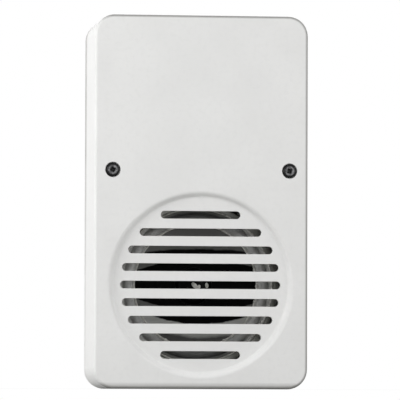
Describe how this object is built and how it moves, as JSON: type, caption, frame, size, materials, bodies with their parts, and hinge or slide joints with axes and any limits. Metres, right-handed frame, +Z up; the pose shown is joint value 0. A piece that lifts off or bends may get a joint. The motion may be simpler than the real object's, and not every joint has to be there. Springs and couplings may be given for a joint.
{
  "type": "doorbell chime box",
  "caption": "Wall-mounted electronic doorbell chime in a rounded rectangular case, with a slotted round loudspeaker grille in a shallow dish and a cover held by cross-recess screws.",
  "frame": {"origin": "centre of the case on the wall plane, at the back face of the base plate", "axes": "+Z up the wall, +Y into the wall, so the front faces -Y, and +X to the viewer's right"},
  "size_m": [0.1, 0.0483, 0.174],
  "materials": {
    "case_plastic": "fine moulded texture, light grey",
    "base_plastic": "plain moulded, light grey",
    "black_steel": "black phosphate over steel",
    "fibre": "vulcanised red fibre",
    "grommet_rubber": "moulded",
    "pressed_steel": "zinc plated",
    "magnet_steel": "zinc plated",
    "ferrite": "sintered, ground faces",
    "cone_paper": "black pressed pulp",
    "surround_cloth": "grey doped cloth",
    "gasket_board": "grey pressed board",
    "dust_cap_film": "glossy",
    "former_paper": "varnished kraft paper",
    "copper_wire": "enamelled copper",
    "spider_cloth": "resin-stiffened cotton",
    "laminate": "phenolic paper laminate",
    "tinned": "tinned",
    "terminal_plastic": "green polyamide",
    "chip_plastic": "black epoxy",
    "socket_plastic": "black polyester",
    "rectifier_plastic": "black epoxy",
    "can_sleeve_blue": "blue shrink sleeve",
    "can_sleeve_black": "black shrink sleeve",
    "disc_ceramic": "dipped, ochre",
    "resistor_lacquer": "beige lacquer",
    "volume_plastic": "blue thermoplastic",
    "knob_plastic": "white acetal",
    "switch_steel": "tinned steel can",
    "slider_plastic": "black acetal",
    "plug_plastic": "natural polyamide",
    "lead_red": "red insulation",
    "lead_black": "black insulation"
  },
  "bodies": {
    "case_base": {"base_plate": "base_plastic", "cable_grommet": "grommet_rubber", "speaker_basket": "pressed_steel", "speaker_gasket": "gasket_board", "cone_surround": "surround_cloth", "spider": "spider_cloth", "speaker_magnet": "ferrite", "magnet_front_plate": "magnet_steel", "magnet_yoke": "magnet_steel", "speaker_tag_board": "laminate", "speaker_tags": "tinned", "speaker_clips": "pressed_steel", "speaker_clip_screws": "pressed_steel", "circuit_board": "laminate", "board_screws": "pressed_steel", "terminal_block": "terminal_plastic", "terminal_screws": "pressed_steel", "tune_chip": "chip_plastic", "chip_socket": "socket_plastic", "amplifier_chip": "chip_plastic", "bridge_rectifier": "rectifier_plastic", "reservoir_capacitor": "can_sleeve_blue", "coupling_capacitor": "can_sleeve_black", "small_capacitors": "can_sleeve_black", "disc_capacitors": "disc_ceramic", "resistors": "resistor_lacquer", "transistors": "chip_plastic", "volume_body": "volume_plastic", "switch_body": "switch_steel", "speaker_socket": "plug_plastic", "speaker_plug": "plug_plastic", "speaker_lead_red": "lead_red", "speaker_lead_black": "lead_black"},
    "cover": {"front_cover": "case_plastic", "cover_screw_washers": "fibre"},
    "left_screw": {"cover_screw_left": "black_steel"},
    "right_screw": {"cover_screw_right": "black_steel"},
    "cone": {"speaker_cone": "cone_paper", "dust_cap": "dust_cap_film", "voice_coil_former": "former_paper", "voice_coil": "copper_wire"},
    "volume_control": {"volume_knob": "knob_plastic"},
    "tune_selector": {"switch_slider": "slider_plastic"}
  },
  "joints": [
    {"name": "cover_lift", "type": "slide", "parent": "case_base", "child": "cover", "axis": [0, -1, 0], "range_m": [0, 0.06]},
    {"name": "left_screw_turn", "type": "hinge", "parent": "cover", "child": "left_screw", "pos_m": [-0.0414, -0.0461, 0.0147], "axis": [0, -1, 0], "continuous": true},
    {"name": "right_screw_turn", "type": "hinge", "parent": "cover", "child": "right_screw", "pos_m": [0.0414, -0.0461, 0.0147], "axis": [0, -1, 0], "continuous": true},
    {"name": "cone_travel", "type": "slide", "parent": "case_base", "child": "cone", "axis": [0, -1, 0], "range_m": [-0.001, 0.001], "stiffness_N_per_m": 800, "deforming": ["cone_surround", "spider"]},
    {"name": "volume_turn", "type": "hinge", "parent": "case_base", "child": "volume_control", "pos_m": [0.02178, -0.015, 0.04216], "axis": [0, -1, 0], "range_deg": [-135, 135]},
    {"name": "tune_select", "type": "slide", "parent": "case_base", "child": "tune_selector", "axis": [1, 0, 0], "range_m": [0, 0.004]}
  ]
}
